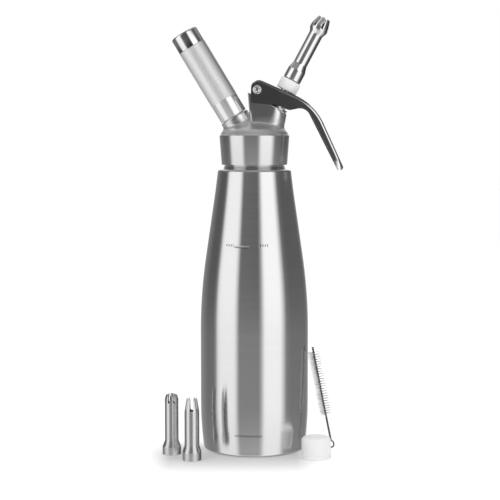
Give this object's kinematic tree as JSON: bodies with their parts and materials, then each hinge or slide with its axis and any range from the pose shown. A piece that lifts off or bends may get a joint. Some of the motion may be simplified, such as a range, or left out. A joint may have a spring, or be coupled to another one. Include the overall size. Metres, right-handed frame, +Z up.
{
  "type": "whipped cream dispenser",
  "caption": "Steel cream siphon bottle with a screw-on head, squeeze lever, valve, angled gas charger holder and nozzle, with spare nozzles, cap and brush standing beside it.",
  "frame": {"origin": "centre of the bottle's base, on the surface it stands on", "axes": "+Z up along the bottle's axis, +X towards the lever and the nozzle, the front faces -Y"},
  "size_m": [0.1486, 0.0998, 0.3592],
  "materials": {
    "bottle_steel": "brushed round the axis, satin",
    "machined_steel": "turned, satin",
    "head_steel": "fine brushed round the axis, satin",
    "lever_steel": "polished, dark",
    "polished_steel": "mirror polished",
    "charger_steel": "satin",
    "knurled_steel": "fine knurl, matt",
    "brass": "turned",
    "white_plastic": "matt white",
    "clear_plastic": "translucent, milky",
    "black_rubber": "matt black",
    "brush_wire": "twisted wire, dull",
    "bristles": "thin white nylon"
  },
  "bodies": {
    "bottle_body": {"bottle": "bottle_steel", "neck_ring": "machined_steel"},
    "gasket": {"head_gasket": "black_rubber"},
    "head": {"head_body": "head_steel", "stem_guide": "brass", "stem_oring": "black_rubber", "valve_spring": "machined_steel", "charger_nipple": "machined_steel", "piercing_pin": "brass", "return_disc": "black_rubber", "charger_seal": "black_rubber"},
    "stem": {"valve_stem": "machined_steel", "valve_seal": "black_rubber", "seal_nut": "machined_steel", "nozzle_ring": "white_plastic"},
    "lever_body": {"lever": "lever_steel", "lever_screw": "polished_steel", "lever_nut": "polished_steel"},
    "washer": {"nozzle_washer": "black_rubber"},
    "nozzle_body": {"nozzle": "polished_steel"},
    "charger": {"gas_charger": "charger_steel"},
    "holder": {"holder_tube": "knurled_steel", "holder_end": "polished_steel"},
    "domed_nozzle": {"spare_nozzle_domed": "polished_steel"},
    "conical_nozzle": {"spare_nozzle_conical": "polished_steel"},
    "cap": {"protective_cap": "clear_plastic"},
    "brush": {"brush_wire": "brush_wire", "brush_bristles": "bristles"}
  },
  "joints": [
    {"name": "head_rise", "type": "slide", "parent": "bottle_body", "child": "gasket", "axis": [0, 0, 1], "range_m": [0, 0.012]},
    {"name": "head_turn", "type": "hinge", "parent": "gasket", "child": "head", "pos_m": [0, 0, 0.2484], "axis": [0, 0, 1], "range_deg": [0, 1440]},
    {"name": "lever_press", "type": "hinge", "parent": "head", "child": "lever_body", "pos_m": [0.0022, 0, 0.2983], "axis": [0, 1, 0], "range_deg": [0, 8.2], "stiffness_Nm_per_rad": 2.3, "springref_deg": -7.45},
    {"name": "valve_plunge", "type": "slide", "parent": "head", "child": "stem", "axis": [-0.4679, 0, -0.8838], "range_m": [0, 0.0031], "deforming": ["valve_spring"]},
    {"name": "nozzle_rise", "type": "slide", "parent": "stem", "child": "washer", "axis": [0.4679, 0, 0.8838], "range_m": [0, 0.00875]},
    {"name": "nozzle_turn", "type": "hinge", "parent": "washer", "child": "nozzle_body", "pos_m": [0, 0, 0.2484], "axis": [0.4679, 0, 0.8838], "range_deg": [0, 2520]},
    {"name": "charger_rise", "type": "slide", "parent": "head", "child": "charger", "axis": [-0.518, 0, 0.8554], "range_m": [0, 0.0105]},
    {"name": "holder_turn", "type": "hinge", "parent": "charger", "child": "holder", "pos_m": [0, 0, 0.2484], "axis": [-0.518, 0, 0.8554], "range_deg": [0, 2160]},
    {"name": "domed_nozzle_lift", "type": "slide", "parent": "bottle_body", "child": "domed_nozzle", "axis": [0, 0, 1], "range_m": [0, 0.12]},
    {"name": "conical_nozzle_lift", "type": "slide", "parent": "bottle_body", "child": "conical_nozzle", "axis": [0, 0, 1], "range_m": [0, 0.12]},
    {"name": "cap_lift", "type": "slide", "parent": "bottle_body", "child": "cap", "axis": [0, 0, 1], "range_m": [0, 0.12]},
    {"name": "brush_lift", "type": "slide", "parent": "bottle_body", "child": "brush", "axis": [0, 0, 1], "range_m": [0, 0.12]}
  ],
  "couplings": [
    {"joint": "head_rise", "follows": "head_turn", "m_per_rad": 0.00047746},
    {"joint": "valve_plunge", "follows": "lever_press", "m_per_rad": 0.0215},
    {"joint": "nozzle_turn", "follows": "nozzle_rise", "rad_per_m": 5026.5},
    {"joint": "holder_turn", "follows": "charger_rise", "rad_per_m": 3590.4}
  ]
}
